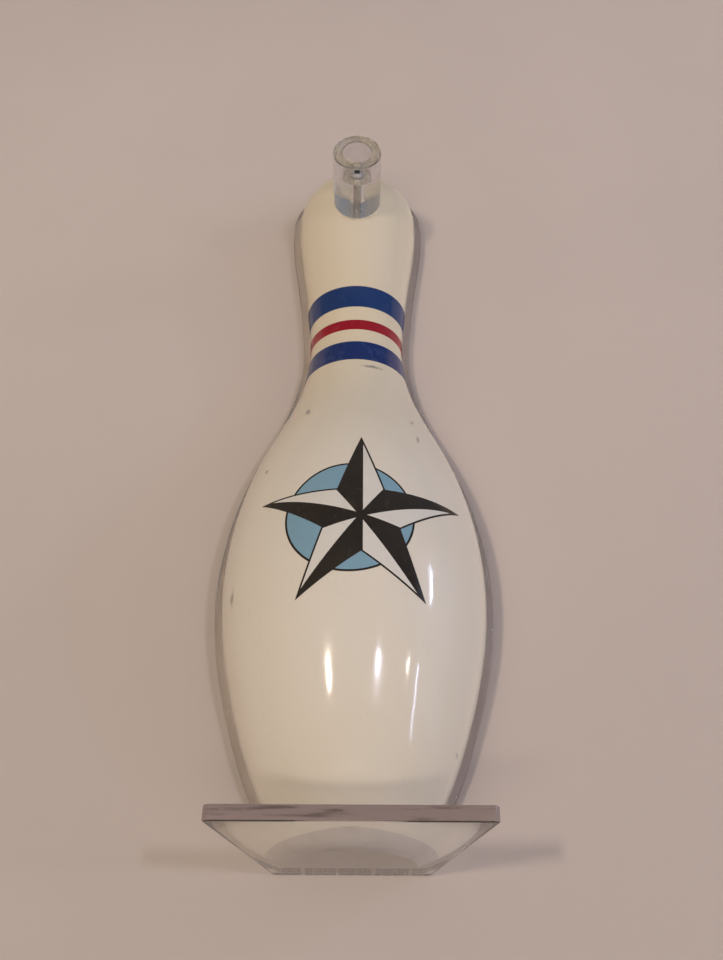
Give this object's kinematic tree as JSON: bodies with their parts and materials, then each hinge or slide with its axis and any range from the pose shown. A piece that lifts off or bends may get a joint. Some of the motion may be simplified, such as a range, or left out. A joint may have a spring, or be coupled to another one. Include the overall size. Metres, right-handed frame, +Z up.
{
  "type": "wall-hung half bowling pin",
  "caption": "Half bowling pin with a flat back on a clear outline plate, a clear shelf under its base, and a clear round peg screwed to its head.",
  "frame": {"origin": "on the wall face of the back plate, on the pin's centre line, level with the pin's base", "axes": "+Z up along the pin, +Y into the wall, +X to the right seen from the front"},
  "size_m": [0.128, 0.0804, 0.3902],
  "materials": {
    "pin_coating": "glossy cream plastic",
    "base_cap": "moulded nylon",
    "blue_print": "printed ink under gloss",
    "red_print": "printed ink under gloss",
    "sky_print": "printed ink under gloss",
    "white_print": "printed ink under gloss",
    "black_print": "printed ink under gloss",
    "clear_acrylic": "polished clear acrylic",
    "maple": "turned hard maple",
    "screw_steel": "zinc-plated steel"
  },
  "bodies": {
    "wall_pin": {"back_plate": "clear_acrylic", "base_cap": "base_cap", "belly_block_front": "maple", "belly_block_left": "maple", "belly_block_right": "maple", "coating": "pin_coating", "core_centre_ply": "maple", "core_left_ply": "maple", "core_right_ply": "maple", "emblem_dark": "black_print", "emblem_disc": "sky_print", "emblem_light": "white_print", "lower_blue_stripe": "blue_print", "peg_screw": "screw_steel", "plate_screws": "screw_steel", "red_stripe": "red_print", "shelf": "clear_acrylic", "upper_blue_stripe": "blue_print"},
    "peg": {"peg": "clear_acrylic"}
  },
  "joints": [
    {"name": "peg_turn", "type": "hinge", "parent": "wall_pin", "child": "peg", "pos_m": [0, -0.058, 0.3386], "axis": [0, -1, 0], "continuous": true}
  ]
}
